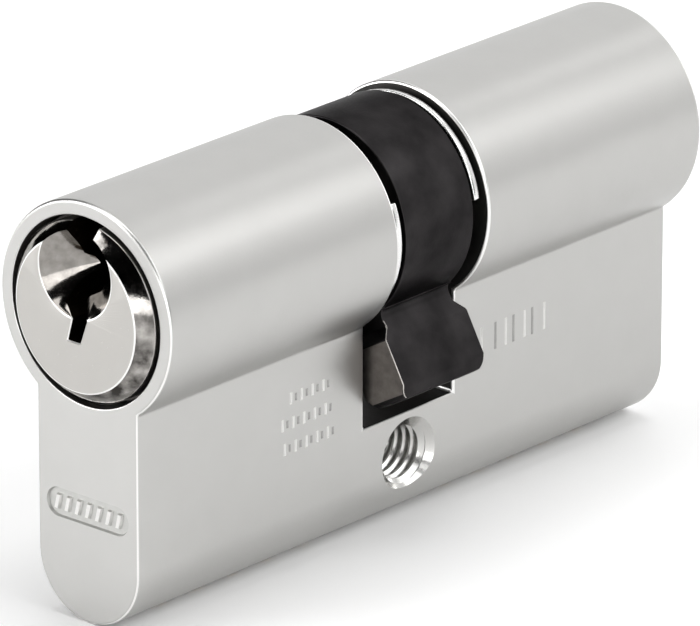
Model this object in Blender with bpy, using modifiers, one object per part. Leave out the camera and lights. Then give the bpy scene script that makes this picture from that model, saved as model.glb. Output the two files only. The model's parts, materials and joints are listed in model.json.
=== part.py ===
"""Euro profile double cylinder lock: housing, two pin tumbler plugs, cam and couplers.

Units are metres. The origin is the centre of the fixing-screw hole, at mid-length.
-Y points to the outer end of the lock, +Z up, and +X to the right seen from outside.
The barrel axis runs along Y, AXIS_HEIGHT above the origin.

Shapes are drawn around the barrel axis, for the outer end. The inner end holds the same
pieces, turned half a turn about Z. At rest the keyways point up, every pair of pins meets
at the shear line, and the outer coupler joins the outer plug to the cam.
"""

from math import asin, cos, pi, radians, sin, sqrt

import bmesh
import bpy
from mathutils import Matrix, Vector

MM = 0.001
CUT_PAST = 1.0 * MM  # how far a cutter runs past the surface it cuts

# Profile of the housing
HALF_LENGTH = 30.0 * MM
BARREL_RADIUS = 8.5 * MM
LEG_HALF_WIDTH = 5.0 * MM
PROFILE_HEIGHT = 33.0 * MM
AXIS_HEIGHT = 18.7 * MM
LEG_BOTTOM = BARREL_RADIUS - PROFILE_HEIGHT
BARREL_STEPS = 39
LEG_END_STEPS = 13

# Cam slot and fixing-screw hole in the housing
SLOT_HALF_WIDTH = 5.1 * MM
SLOT_FLOOR = -15.1 * MM
SCREW_CORE_RADIUS = 2.15 * MM
SCREW_RIM_RADIUS = 2.9 * MM

# Plug, whose body turns in the housing's bore
PLUG_RADIUS = 6.5 * MM
RUNNING_GAP = 0.1 * MM
BORE_RADIUS = PLUG_RADIUS + RUNNING_GAP
HEAD_RADIUS = 7.0 * MM
HEAD_LENGTH = 2.0 * MM
HEAD_GAP = 0.35 * MM
FACE_PROUD = 1.1 * MM
FACE_RADIUS = HEAD_RADIUS - FACE_PROUD
PLUG_END = 2.65 * MM  # distance of the plug's inner end from mid-length

# Key funnel and keyway, the outline seen from outside as x and height over the barrel axis
FUNNEL_RADIUS = 3.6 * MM
FUNNEL_HEIGHT = 3.35 * MM
FUNNEL_TIP_RADIUS = 0.4 * MM
KEYWAY_MM = [
    (-0.8, -2.05),
    (0.45, -2.05),
    (1.15, -0.1),
    (0.75, 0.35),
    (0.0, 1.1),
    (1.05, 1.7),
    (1.5, 2.6),
    (1.5, 8.0),
    (-1.15, 8.0),
    (-1.15, 4.0),
    (-0.65, 3.7),
    (-0.25, 2.85),
    (-0.85, 2.4),
    (-1.2, 1.8),
    (-1.5, 0.7),
    (-0.3, -0.25),
]

# Facets around the round shapes
BORE_STEPS = 48
CHAMBER_STEPS = 16
PIN_STEPS = 16

# Pin chambers, counted from the face
FIRST_CHAMBER = 6.2 * MM
CHAMBER_PITCH = 3.9 * MM
KEY_PIN_LENGTHS = [4.6 * MM, 5.4 * MM, 5.0 * MM, 6.0 * MM, 5.2 * MM]
CHAMBER_RADIUS = 1.5 * MM
CHAMBER_TOP = 1.4 * MM
PIN_RADIUS = 1.4 * MM
PIN_CHAMFER = 0.2 * MM
PIN_TIP_RADIUS = 0.35 * MM
PIN_TIP_HEIGHT = 1.05 * MM
KEY_PIN_FOOT = -6.4 * MM
DRIVER_TOP = -6.6 * MM
DRIVER_LENGTH = 6.0 * MM
STOPPER_RADIUS = 1.44 * MM
STOPPER_LENGTH = 3.2 * MM

# Pin springs
SPRING_RADIUS = 1.05 * MM
SPRING_WIRE_RADIUS = 0.15 * MM
SPRING_TURNS = 5
SPRING_END_GAP = 0.1 * MM
POINTS_PER_TURN = 8

# Cam: a ring around both plug ends, and a lever
RING_RADIUS = 8.1 * MM
RING_HALF_WIDTH = 3.8 * MM
WEB_HALF_WIDTH = 0.75 * MM
LEVER_ANGLE = radians(29)  # from straight down, towards +X
LEVER_TIP_RADIUS = 14.75 * MM
LEVER_HALF_WIDTH = 4.6 * MM
LEVER_HALF_THICKNESS = 2.2 * MM
LEVER_ROOT = 7.2 * MM
SHOULDER_START = 9.1 * MM
SHOULDER_END = 10.0 * MM
LEVER_CORNER = 0.6 * MM

# Couplers: an ear plate that fits the cam's web, and a tongue that stays in the plug
PLATE_THICKNESS = 2 * WEB_HALF_WIDTH
PLATE_RADIUS = 6.4 * MM
TONGUE_WIDTH = 2.8 * MM
TONGUE_HALF_HEIGHT = 4.5 * MM
TONGUE_LENGTH = 3.0 * MM
COUPLER_PLAY = 0.1 * MM
COUPLER_GAP = 0.2 * MM
COUPLER_TRAVEL = PLATE_THICKNESS + COUPLER_GAP

# Circlips in the plugs' end grooves
GROOVE_NEAR = 4.05 * MM
GROOVE_FAR = 4.85 * MM
GROOVE_RADIUS = 5.7 * MM
CLIP_INNER_RADIUS = 5.8 * MM
CLIP_OUTER_RADIUS = 8.0 * MM
CLIP_SIDE_GAP = 0.1 * MM
CLIP_GAP_HALF = radians(40)
OUTER_CLIP_GAP = radians(26)  # middle of the gap, clockwise from the top, seen from that end
INNER_CLIP_GAP = radians(-121)

X_AXIS = Vector((1, 0, 0))
Y_AXIS = Vector((0, 1, 0))
Z_AXIS = Vector((0, 0, 1))


def clear_scene():
    for obj in list(bpy.data.objects):
        bpy.data.objects.remove(obj)


def make_collection(name):
    collection = bpy.data.collections.new(name)
    bpy.context.scene.collection.children.link(collection)
    return collection


def make_material(name, colour, metallic, roughness):
    material = bpy.data.materials.new(name)
    material.use_nodes = True
    shader = material.node_tree.nodes["Principled BSDF"]
    shader.inputs["Base Color"].default_value = (*colour, 1.0)
    shader.inputs["Metallic"].default_value = metallic
    shader.inputs["Roughness"].default_value = roughness
    return material


def evaluated_mesh(obj):
    """The object's mesh with its modifiers applied. The object itself is removed."""
    graph = bpy.context.evaluated_depsgraph_get()
    mesh = bpy.data.meshes.new_from_object(obj.evaluated_get(graph))
    bpy.data.objects.remove(obj)
    return mesh


def cylinder(radius, start, end, axis, through=(0, 0, 0), segments=BORE_STEPS, end_radius=None):
    """A cylinder, or a cone if end_radius is given, between two distances along an axis."""
    mesh = bpy.data.meshes.new("cylinder")
    shape = bmesh.new()
    centre = Vector(through) + axis * (start + end) / 2
    facing = axis.to_track_quat("Z", "Y").to_matrix().to_4x4()
    half_step = Matrix.Rotation(pi / segments, 4, "Z")
    bmesh.ops.create_cone(
        shape,
        cap_ends=True,
        segments=segments,
        radius1=radius,
        radius2=radius if end_radius is None else end_radius,
        depth=end - start,
        matrix=Matrix.Translation(centre) @ facing @ half_step,
    )
    shape.to_mesh(mesh)
    shape.free()
    return mesh


def box(low, high):
    mesh = bpy.data.meshes.new("box")
    shape = bmesh.new()
    low = Vector(low)
    high = Vector(high)
    size = Matrix.Diagonal((*(high - low), 1))
    bmesh.ops.create_cube(shape, size=1, matrix=Matrix.Translation((low + high) / 2) @ size)
    shape.to_mesh(mesh)
    shape.free()
    return mesh


def turned(profile, axis, segments=PIN_STEPS):
    """A profile of (radius, distance along the axis) points, highest first, turned full circle."""
    mesh = bpy.data.meshes.new("profile")
    points = [(radius, 0, height) for radius, height in profile]
    edges = [(i, i + 1) for i in range(len(points) - 1)]
    mesh.from_pydata(points, edges, [])
    obj = bpy.data.objects.new("profile", mesh)
    bench.objects.link(obj)
    screw = obj.modifiers.new("turn", "SCREW")
    screw.steps = segments
    screw.render_steps = segments
    screw.use_merge_vertices = True
    screw.merge_threshold = 0.001 * MM
    mesh = evaluated_mesh(obj)
    mesh.transform(axis.to_track_quat("Z", "Y").to_matrix().to_4x4())
    return mesh


def extruded(outline, half_depth, across, up):
    """A flat outline, drawn along the two axes across and up, thickened both ways."""
    curve = bpy.data.curves.new("outline", "CURVE")
    curve.dimensions = "2D"
    curve.fill_mode = "BOTH"
    curve.extrude = half_depth
    spline = curve.splines.new("POLY")
    spline.points.add(len(outline) - 1)
    for point, (x, y) in zip(spline.points, outline):
        point.co = (x, y, 0, 1)
    spline.use_cyclic_u = True
    obj = bpy.data.objects.new("outline", curve)
    bench.objects.link(obj)
    mesh = evaluated_mesh(obj)
    placing = Matrix((across, up, across.cross(up))).transposed().to_4x4()
    shape = bmesh.new()
    shape.from_mesh(mesh)
    bmesh.ops.remove_doubles(shape, verts=shape.verts, dist=0.001 * MM)
    bmesh.ops.transform(shape, matrix=placing, verts=shape.verts)
    bmesh.ops.recalc_face_normals(shape, faces=shape.faces)
    shape.to_mesh(mesh)
    shape.free()
    return mesh


def combined(mesh, tool, operation):
    """The mesh after one Boolean with the tool mesh: DIFFERENCE, UNION or INTERSECT."""
    body = bpy.data.objects.new("body", mesh)
    helper = bpy.data.objects.new("tool", tool)
    bench.objects.link(body)
    bench.objects.link(helper)
    boolean = body.modifiers.new("boolean", "BOOLEAN")
    boolean.operation = operation
    boolean.object = helper
    mesh = evaluated_mesh(body)
    bpy.data.objects.remove(helper)
    return mesh


def arc(centre_x, centre_y, radius, start, end, steps):
    angles = [start + (end - start) * i / steps for i in range(steps + 1)]
    return [(centre_x + radius * cos(a), centre_y + radius * sin(a)) for a in angles]


def chamber_distances():
    return [-HALF_LENGTH + FIRST_CHAMBER + CHAMBER_PITCH * i for i in range(len(KEY_PIN_LENGTHS))]


def profile_outline():
    """Barrel and leg as one outline, in x and height over the barrel axis."""
    meeting = asin(LEG_HALF_WIDTH / BARREL_RADIUS)
    leg_end_centre = LEG_BOTTOM + LEG_HALF_WIDTH
    barrel = arc(0, 0, BARREL_RADIUS, -pi / 2 + meeting, 3 * pi / 2 - meeting, BARREL_STEPS)
    leg_end = arc(0, leg_end_centre, LEG_HALF_WIDTH, pi, 2 * pi, LEG_END_STEPS)
    return barrel + leg_end


def screw_hole_mesh():
    """The space of the fixing-screw hole, countersunk at both ends, at 45 degrees."""
    past_face = LEG_HALF_WIDTH + CUT_PAST
    sink_foot = LEG_HALF_WIDTH - (SCREW_RIM_RADIUS - SCREW_CORE_RADIUS)
    half_profile = [
        (0, past_face),
        (SCREW_RIM_RADIUS + CUT_PAST, past_face),
        (SCREW_CORE_RADIUS, sink_foot),
    ]
    profile = half_profile + [(radius, -x) for radius, x in reversed(half_profile)]
    mesh = turned(profile, X_AXIS, segments=28)
    mesh.transform(Matrix.Translation((0, 0, -AXIS_HEIGHT)))
    return mesh


def housing_mesh():
    mesh = extruded(profile_outline(), HALF_LENGTH, X_AXIS, Z_AXIS)
    face = HALF_LENGTH + CUT_PAST
    mesh = combined(mesh, cylinder(BORE_RADIUS, -face, face, Y_AXIS), "DIFFERENCE")
    slot = box(
        (-BARREL_RADIUS - CUT_PAST, -SLOT_HALF_WIDTH, SLOT_FLOOR),
        (BARREL_RADIUS + CUT_PAST, SLOT_HALF_WIDTH, BARREL_RADIUS + CUT_PAST),
    )
    mesh = combined(mesh, slot, "DIFFERENCE")
    for side in (-1, 1):
        direction = side * Y_AXIS
        recess = cylinder(HEAD_RADIUS + HEAD_GAP, HALF_LENGTH - HEAD_LENGTH, face, direction)
        mesh = combined(mesh, recess, "DIFFERENCE")
        for distance in chamber_distances():
            chamber = cylinder(
                CHAMBER_RADIUS,
                LEG_BOTTOM - CUT_PAST,
                -PLUG_RADIUS + CUT_PAST,
                Z_AXIS,
                through=(0, -side * distance, 0),
                segments=CHAMBER_STEPS,
            )
            mesh = combined(mesh, chamber, "DIFFERENCE")
    return combined(mesh, screw_hole_mesh(), "DIFFERENCE")


def plug_mesh():
    """The outer plug: chamfered head, body, circlip groove, keyway, pin bores and end pocket."""
    shoulder = HALF_LENGTH - HEAD_LENGTH + RUNNING_GAP
    profile = [
        (0, HALF_LENGTH + FACE_PROUD),
        (FACE_RADIUS, HALF_LENGTH + FACE_PROUD),
        (HEAD_RADIUS, HALF_LENGTH),
        (HEAD_RADIUS, shoulder),
        (PLUG_RADIUS, shoulder),
        (PLUG_RADIUS, GROOVE_FAR),
        (GROOVE_RADIUS, GROOVE_FAR),
        (GROOVE_RADIUS, GROOVE_NEAR),
        (PLUG_RADIUS, GROOVE_NEAR),
        (PLUG_RADIUS, PLUG_END),
        (0, PLUG_END),
    ]
    mesh = turned(profile, -Y_AXIS, segments=BORE_STEPS)
    face = HALF_LENGTH + FACE_PROUD
    for distance in chamber_distances():
        bore = cylinder(
            CHAMBER_RADIUS,
            -PLUG_RADIUS - CUT_PAST,
            CHAMBER_TOP,
            Z_AXIS,
            through=(0, distance, 0),
            segments=CHAMBER_STEPS,
        )
        mesh = combined(mesh, bore, "DIFFERENCE")
    half_length = (face + CUT_PAST) / 2
    keyway = extruded([(x * MM, z * MM) for x, z in KEYWAY_MM], half_length, X_AXIS, Z_AXIS)
    keyway.transform(Matrix.Translation((0, -half_length, 0)))
    mesh = combined(mesh, keyway, "DIFFERENCE")
    funnel_depth = FUNNEL_RADIUS - FUNNEL_TIP_RADIUS
    funnel = cylinder(
        FUNNEL_TIP_RADIUS,
        face - funnel_depth,
        face + CUT_PAST,
        -Y_AXIS,
        through=(0, 0, FUNNEL_HEIGHT),
        segments=36,
        end_radius=FUNNEL_RADIUS + CUT_PAST,
    )
    mesh = combined(mesh, funnel, "DIFFERENCE")
    pocket_depth = TONGUE_LENGTH + WEB_HALF_WIDTH + COUPLER_TRAVEL + COUPLER_GAP
    half_width = TONGUE_WIDTH / 2 + COUPLER_PLAY
    half_height = TONGUE_HALF_HEIGHT + COUPLER_PLAY
    pocket = box((-half_width, -pocket_depth, -half_height), (half_width, 0, half_height))
    return combined(mesh, pocket, "DIFFERENCE")


def key_pin_mesh(length):
    """A key pin with its foot at zero height and a conical tip."""
    profile = [
        (0, length),
        (PIN_TIP_RADIUS, length),
        (PIN_RADIUS, length - PIN_TIP_HEIGHT),
        (PIN_RADIUS, PIN_CHAMFER),
        (PIN_RADIUS - PIN_CHAMFER, 0),
        (0, 0),
    ]
    return turned(profile, Z_AXIS)


def driver_pin_mesh():
    """A driver pin with its top at zero height."""
    profile = [
        (0, 0),
        (PIN_RADIUS - PIN_CHAMFER, 0),
        (PIN_RADIUS, -PIN_CHAMFER),
        (PIN_RADIUS, PIN_CHAMFER - DRIVER_LENGTH),
        (PIN_RADIUS - PIN_CHAMFER, -DRIVER_LENGTH),
        (0, -DRIVER_LENGTH),
    ]
    return turned(profile, Z_AXIS)


def chamber_plug_mesh():
    """A stopper whose lower end follows the leg's round edge. Its top is at zero height."""
    drop = LEG_HALF_WIDTH - sqrt(LEG_HALF_WIDTH**2 - STOPPER_RADIUS**2)
    profile = [
        (0, 0),
        (STOPPER_RADIUS - PIN_CHAMFER, 0),
        (STOPPER_RADIUS, -PIN_CHAMFER),
        (STOPPER_RADIUS, drop - STOPPER_LENGTH),
        (STOPPER_RADIUS / 2, drop / 4 - STOPPER_LENGTH),
        (0, -STOPPER_LENGTH),
    ]
    return turned(profile, Z_AXIS)


def spring_length():
    driver_foot = DRIVER_TOP - DRIVER_LENGTH
    stopper_top = LEG_BOTTOM + STOPPER_LENGTH
    return driver_foot - stopper_top - 2 * SPRING_END_GAP


def pin_spring_mesh():
    """A coil spring that stands on zero height, wound from a round wire."""
    pitch_height = spring_length() - 2 * SPRING_WIRE_RADIUS
    count = SPRING_TURNS * POINTS_PER_TURN
    curve = bpy.data.curves.new("coil", "CURVE")
    curve.dimensions = "3D"
    curve.bevel_depth = SPRING_WIRE_RADIUS
    curve.bevel_resolution = 0
    curve.use_fill_caps = True
    spline = curve.splines.new("POLY")
    spline.points.add(count)
    for i, point in enumerate(spline.points):
        turn = 2 * pi * i / POINTS_PER_TURN
        height = SPRING_WIRE_RADIUS + pitch_height * i / count
        point.co = (SPRING_RADIUS * cos(turn), SPRING_RADIUS * sin(turn), height, 1)
    obj = bpy.data.objects.new("coil", curve)
    bench.objects.link(obj)
    mesh = evaluated_mesh(obj)
    shape = bmesh.new()
    shape.from_mesh(mesh)
    bmesh.ops.remove_doubles(shape, verts=shape.verts, dist=0.001 * MM)
    shape.to_mesh(mesh)
    shape.free()
    return mesh


def lever_mesh():
    """The cam's lever: a plate with shoulders and cut corners, trimmed round at its tip."""
    corner = LEVER_TIP_RADIUS - LEVER_CORNER
    outline = [
        (RING_HALF_WIDTH, LEVER_ROOT),
        (RING_HALF_WIDTH, SHOULDER_START),
        (LEVER_HALF_WIDTH, SHOULDER_END),
        (LEVER_HALF_WIDTH, corner),
        (LEVER_HALF_WIDTH - LEVER_CORNER, LEVER_TIP_RADIUS),
    ]
    outline += [(-y, distance) for y, distance in reversed(outline)]
    along = Vector((sin(LEVER_ANGLE), 0, -cos(LEVER_ANGLE)))
    mesh = extruded(outline, LEVER_HALF_THICKNESS, Y_AXIS, along)
    reach = LEVER_HALF_WIDTH + CUT_PAST
    tip = cylinder(LEVER_TIP_RADIUS, -reach, reach, Y_AXIS, segments=128)
    return combined(mesh, tip, "INTERSECT")


def cam_mesh():
    """Ring and lever in one, bored from both ends up to a web with a slot for the couplers."""
    ring = cylinder(RING_RADIUS, -RING_HALF_WIDTH, RING_HALF_WIDTH, Y_AXIS, segments=56)
    mesh = combined(ring, lever_mesh(), "UNION")
    for side in (-1, 1):
        bore = cylinder(BORE_RADIUS, WEB_HALF_WIDTH, RING_HALF_WIDTH + CUT_PAST, side * Y_AXIS)
        mesh = combined(mesh, bore, "DIFFERENCE")
    half_width = TONGUE_WIDTH / 2 + COUPLER_PLAY
    slot = box((-half_width, -CUT_PAST, -BORE_RADIUS), (half_width, CUT_PAST, BORE_RADIUS))
    return combined(mesh, slot, "DIFFERENCE")


def coupler_mesh():
    """Ear plate and tongue, with the plate's inner face at y = 0 and the tongue towards -Y."""
    half_width = TONGUE_WIDTH / 2
    plate = cylinder(PLATE_RADIUS, -PLATE_THICKNESS, 0, Y_AXIS)
    trim = box(
        (-half_width, -PLATE_THICKNESS - CUT_PAST, -BORE_RADIUS),
        (half_width, CUT_PAST, BORE_RADIUS),
    )
    plate = combined(plate, trim, "INTERSECT")
    tongue = box(
        (-half_width, -PLATE_THICKNESS - TONGUE_LENGTH, -TONGUE_HALF_HEIGHT),
        (half_width, -PLATE_THICKNESS / 2, TONGUE_HALF_HEIGHT),
    )
    return combined(plate, tongue, "UNION")


def circlip_mesh(gap_centre):
    """An open ring. Its gap is placed clockwise from the top, seen from outside."""
    start = pi / 2 - gap_centre + CLIP_GAP_HALF
    end = pi / 2 - gap_centre - CLIP_GAP_HALF + 2 * pi
    outer_edge = arc(0, 0, CLIP_OUTER_RADIUS, start, end, 40)
    inner_edge = arc(0, 0, CLIP_INNER_RADIUS, end, start, 40)
    thickness = GROOVE_FAR - GROOVE_NEAR - 2 * CLIP_SIDE_GAP
    return extruded(outer_edge + inner_edge, thickness / 2, X_AXIS, Z_AXIS)


def add_part(name, mesh, material, parent, location):
    """A named object. Its location is counted from its parent's origin."""
    obj = bpy.data.objects.new(name, mesh)
    mesh.shade_smooth()
    mesh.set_sharp_from_angle(angle=radians(35))
    if not mesh.materials:
        mesh.materials.append(material)
    obj.parent = parent
    obj.location = location
    lock.objects.link(obj)
    return obj


def add_side(side, half_turn, clip_gap, meshes, materials):
    """One end of the lock, under an empty at mid-length on the barrel axis."""
    pivot = bpy.data.objects.new(side + "_end", None)
    pivot.location = (0, 0, AXIS_HEIGHT)
    pivot.rotation_euler = (0, 0, half_turn)
    lock.objects.link(pivot)
    plug = add_part(side + "_plug", meshes["plug"], materials["plug"], pivot, (0, 0, 0))
    stopper_top = LEG_BOTTOM + STOPPER_LENGTH
    for i, distance in enumerate(chamber_distances()):
        number = f"_{i + 1}"
        add_part(
            side + "_key_pin" + number,
            meshes["key_pins"][i],
            materials["brass"],
            plug,
            (0, distance, KEY_PIN_FOOT),
        )
        add_part(
            side + "_driver_pin" + number,
            meshes["driver_pin"],
            materials["steel"],
            pivot,
            (0, distance, DRIVER_TOP),
        )
        add_part(
            side + "_pin_spring" + number,
            meshes["pin_spring"],
            materials["spring"],
            pivot,
            (0, distance, stopper_top + SPRING_END_GAP),
        )
        add_part(
            side + "_chamber_plug" + number,
            meshes["chamber_plug"],
            materials["brass"],
            pivot,
            (0, distance, stopper_top),
        )
    circlip_y = -(GROOVE_NEAR + GROOVE_FAR) / 2
    circlip = circlip_mesh(clip_gap)
    add_part(side + "_circlip", circlip, materials["circlip"], plug, (0, circlip_y, 0))
    return plug


clear_scene()
lock = make_collection("euro_cylinder")
bench = make_collection("workbench")

nickel = make_material("satin_nickel", (0.60, 0.60, 0.58), 1.0, 0.38)
blackened = make_material("blackened_steel", (0.035, 0.033, 0.034), 0.6, 0.45)
side_materials = {
    "plug": make_material("plug_nickel", (0.66, 0.65, 0.62), 1.0, 0.25),
    "brass": make_material("brass", (0.72, 0.55, 0.28), 1.0, 0.30),
    "steel": make_material("pin_steel", (0.58, 0.58, 0.60), 1.0, 0.25),
    "spring": make_material("spring_steel", (0.50, 0.50, 0.52), 1.0, 0.30),
    "circlip": make_material("circlip_steel", (0.78, 0.78, 0.78), 1.0, 0.20),
}
coupler_steel = make_material("coupler_steel", (0.45, 0.45, 0.46), 1.0, 0.40)

side_meshes = {
    "plug": plug_mesh(),
    "key_pins": [key_pin_mesh(length) for length in KEY_PIN_LENGTHS],
    "driver_pin": driver_pin_mesh(),
    "pin_spring": pin_spring_mesh(),
    "chamber_plug": chamber_plug_mesh(),
}
barrel_centre = (0, 0, AXIS_HEIGHT)
add_part("housing", housing_mesh(), nickel, None, barrel_centre)
add_part("cam", cam_mesh(), blackened, None, barrel_centre)
outer_plug = add_side("outer", 0, OUTER_CLIP_GAP, side_meshes, side_materials)
inner_plug = add_side("inner", pi, INNER_CLIP_GAP, side_meshes, side_materials)

# The outer coupler sits in the cam's web, and the inner one just clear of it.
coupler = coupler_mesh()
inner_face = WEB_HALF_WIDTH + COUPLER_GAP
add_part("outer_coupler", coupler, coupler_steel, outer_plug, (0, WEB_HALF_WIDTH, 0))
add_part("inner_coupler", coupler, coupler_steel, inner_plug, (0, -inner_face, 0))

bpy.data.collections.remove(bench)
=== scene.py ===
"""Looks of the euro profile double cylinder: fine meshes, metals, studio and camera.

Units are metres. Meshes are drawn around the barrel axis and the lock's middle plane, for the
outer end, and are then lifted to the axis. The inner end holds the same shapes, turned half
a turn about Z.
"""

import json
from math import asin, atan2, cos, pi, radians, sin, sqrt, tan

import bmesh
import bpy
from mathutils import Matrix, Vector


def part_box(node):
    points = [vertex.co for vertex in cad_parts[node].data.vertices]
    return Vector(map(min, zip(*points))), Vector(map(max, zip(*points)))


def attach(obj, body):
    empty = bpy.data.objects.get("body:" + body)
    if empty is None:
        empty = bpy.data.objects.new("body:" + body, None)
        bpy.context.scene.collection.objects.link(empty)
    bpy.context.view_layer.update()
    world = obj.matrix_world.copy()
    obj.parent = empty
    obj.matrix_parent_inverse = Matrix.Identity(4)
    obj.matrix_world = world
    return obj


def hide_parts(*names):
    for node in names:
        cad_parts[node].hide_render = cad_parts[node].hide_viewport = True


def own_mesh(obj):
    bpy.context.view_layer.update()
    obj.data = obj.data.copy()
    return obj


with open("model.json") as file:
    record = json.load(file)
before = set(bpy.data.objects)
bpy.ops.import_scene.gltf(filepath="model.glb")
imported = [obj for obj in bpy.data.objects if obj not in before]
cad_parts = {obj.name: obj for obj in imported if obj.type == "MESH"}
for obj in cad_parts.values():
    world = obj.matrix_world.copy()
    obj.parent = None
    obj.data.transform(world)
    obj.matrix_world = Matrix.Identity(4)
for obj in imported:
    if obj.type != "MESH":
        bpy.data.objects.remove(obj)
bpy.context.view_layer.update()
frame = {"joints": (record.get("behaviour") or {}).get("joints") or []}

MM = 0.001
X_AXIS = Vector((1, 0, 0))
Y_AXIS = Vector((0, 1, 0))
Z_AXIS = Vector((0, 0, 1))
CUT_PAST = 1.0 * MM  # how far a cutter runs past the surface it cuts
SAME_PLACE = 0.01 * MM  # the most that an edge may lie off the face it belongs to
WELD = 0.001 * MM  # points of an outline or a coil nearer than this are one
CUT_WELD = 0.0005 * MM  # the same after a Boolean
TURN_WELD = 0.0001 * MM  # the same on the axis of a turned shape
FLAT_ANGLE = radians(0.1)
SHARP_ANGLE = radians(35)  # edges sharper than this are rounded
SMOOTH_ANGLE = radians(32)  # edges flatter than this are shaded smooth

# Sides of round shapes
ROUND = 96
HEAD_ROUND = 128
RING_ROUND = 144
LEG_END_ROUND = 256
PIN_ROUND = 40
CHAMBER_ROUND = 32

# The lock's own places, from the CAD frame
housing_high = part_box("housing")[1]
plug_low, plug_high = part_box("outer_plug")
circlip_low, circlip_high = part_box("outer_circlip")
AXIS_HEIGHT = next(
    joint["pos_m"][2] for joint in frame["joints"] if joint["name"] == "outer_plug_turn"
)
BARREL_CENTRE = Vector((0, 0, AXIS_HEIGHT))
HALF_LENGTH = housing_high.y
FACE_PROUD = -HALF_LENGTH - plug_low.y
PLUG_END = -plug_high.y

# Housing
BARREL_RADIUS = 8.5 * MM
LEG_HALF_WIDTH = 5.0 * MM
PROFILE_HEIGHT = 33.0 * MM
LEG_BOTTOM = BARREL_RADIUS - PROFILE_HEIGHT
BARREL_STEPS = 151
LEG_END_STEPS = 61
END_EDGE = 0.28 * MM
INNER_EDGE = 0.2 * MM
RECESS_EDGE = 0.1 * MM
SLOT_EDGE_LEANS = (0.05, 0.98)  # how far along Y the normals of an edge's faces with the painted highlight point
END_EDGE_LEANS = (0.5, 0.9)
SLOT_HALF_WIDTH = 5.1 * MM
SLOT_FLOOR = -15.1 * MM
BORE_RADIUS = 6.6 * MM
RECESS_RADIUS = 7.35 * MM
RECESS_DEPTH = 2.0 * MM

# Fixing-screw hole: M5 thread with a countersunk rim
SCREW_CORE_RADIUS = 2.1 * MM
SCREW_CREST_RADIUS = 2.5 * MM
SCREW_PITCH = 0.8 * MM
SCREW_RIM_RADIUS = 3.0 * MM
COUNTERSINK_START = SCREW_CORE_RADIUS - 0.2 * MM
THREAD_STEPS = 64
THREAD_SPARE_TURNS = 4
THREAD_FORM = [(0.0, 0.0), (0.2, 0.0), (0.55, 1.0), (0.65, 1.0)]  # shares of pitch and depth

# Plug
PLUG_RADIUS = 6.5 * MM
HEAD_RADIUS = 7.0 * MM
HEAD_PLAY = 0.1 * MM
HEAD_SHOULDER = HALF_LENGTH - RECESS_DEPTH + HEAD_PLAY
FACE_RADIUS = HEAD_RADIUS - FACE_PROUD
GROOVE_NEAR = 4.05 * MM
GROOVE_FAR = 4.85 * MM
GROOVE_RADIUS = 5.7 * MM
FUNNEL_RADIUS = 3.6 * MM
FUNNEL_HEIGHT = 3.35 * MM
FUNNEL_TIP_RADIUS = 0.4 * MM
KEYWAY_MM = [  # counter-clockwise from the foot: x and height over the barrel axis
    (-0.8, -2.05),
    (0.45, -2.05),
    (1.15, -0.1),
    (0.75, 0.35),
    (0.0, 1.1),
    (1.05, 1.7),
    (1.5, 2.6),
    (1.5, 8.0),
    (-1.15, 8.0),
    (-1.15, 4.0),
    (-0.65, 3.7),
    (-0.25, 2.85),
    (-0.85, 2.4),
    (-1.2, 1.8),
    (-1.5, 0.7),
    (-0.3, -0.25),
]
KEYWAY_CORNER = 0.08 * MM
KEYWAY_RIM = 0.1 * MM
FUNNEL_RIM = 0.07 * MM
HEAD_EDGE = 0.06 * MM  # edge rounding on the turned head
CHAMFER_LEANS = (0.45, 0.96)  # how far along Y the normals of the chamfer's faces point
CHAMBER_RADIUS = 1.5 * MM
CHAMBER_TOP = 1.4 * MM

# Cam
RING_RADIUS = 8.1 * MM
RING_HALF_WIDTH = 3.8 * MM
WEB_HALF_WIDTH = 0.75 * MM
LEVER_ANGLE = radians(29)
LEVER_ALONG = Vector((sin(LEVER_ANGLE), 0, -cos(LEVER_ANGLE)))
LEVER_NORMAL = Vector((cos(LEVER_ANGLE), 0, sin(LEVER_ANGLE)))
LEVER_TIP_RADIUS = 14.73 * MM
LEVER_HALF_WIDTH = 4.6 * MM
LEVER_HALF_THICKNESS = 2.2 * MM
NECK_HALF_THICKNESS = 1.88 * MM
NECK_FILLET = 0.7 * MM
LEVER_ROOT = 7.0 * MM
SHOULDER_START = 9.1 * MM
SHOULDER_END = 10.0 * MM
THICKENING_START = 8.6 * MM
THICKENING_END = 10.2 * MM
LEVER_CORNER = 0.8 * MM
LEVER_EDGE = 0.12 * MM
TIP_BEVEL_THICKNESS = 0.6 * MM
TIP_BEVEL_LENGTH = 1.1 * MM
CORNER_STEPS = 8
TIP_STEPS = 12
FLANK_FACING = 0.95  # how far along Y the normals of the lever's sheared flanks point, at least
EDGE_FACING = 0.3  # how far the normal of a worn edge with a painted highlight points both along Y and off the plate, at least

# Couplers
TONGUE_HALF_WIDTH = 1.4 * MM
TONGUE_HALF_HEIGHT = 4.5 * MM
TONGUE_LENGTH = 3.0 * MM
PLATE_RADIUS = 6.4 * MM
SLIDING_PLAY = 0.1 * MM
POCKET_DEPTH = 5.65 * MM
COUPLER_EDGE = 0.12 * MM

# Circlips
CLIP_INNER_RADIUS = 5.8 * MM
CLIP_OUTER_RADIUS = 8.0 * MM
CLIP_GAP_HALF = radians(40)
CLIP_GAPS = {"outer": radians(26), "inner": radians(-121)}  # clockwise from the top
CLIP_STEPS = 96
CLIP_EDGE = 0.1 * MM

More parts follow.
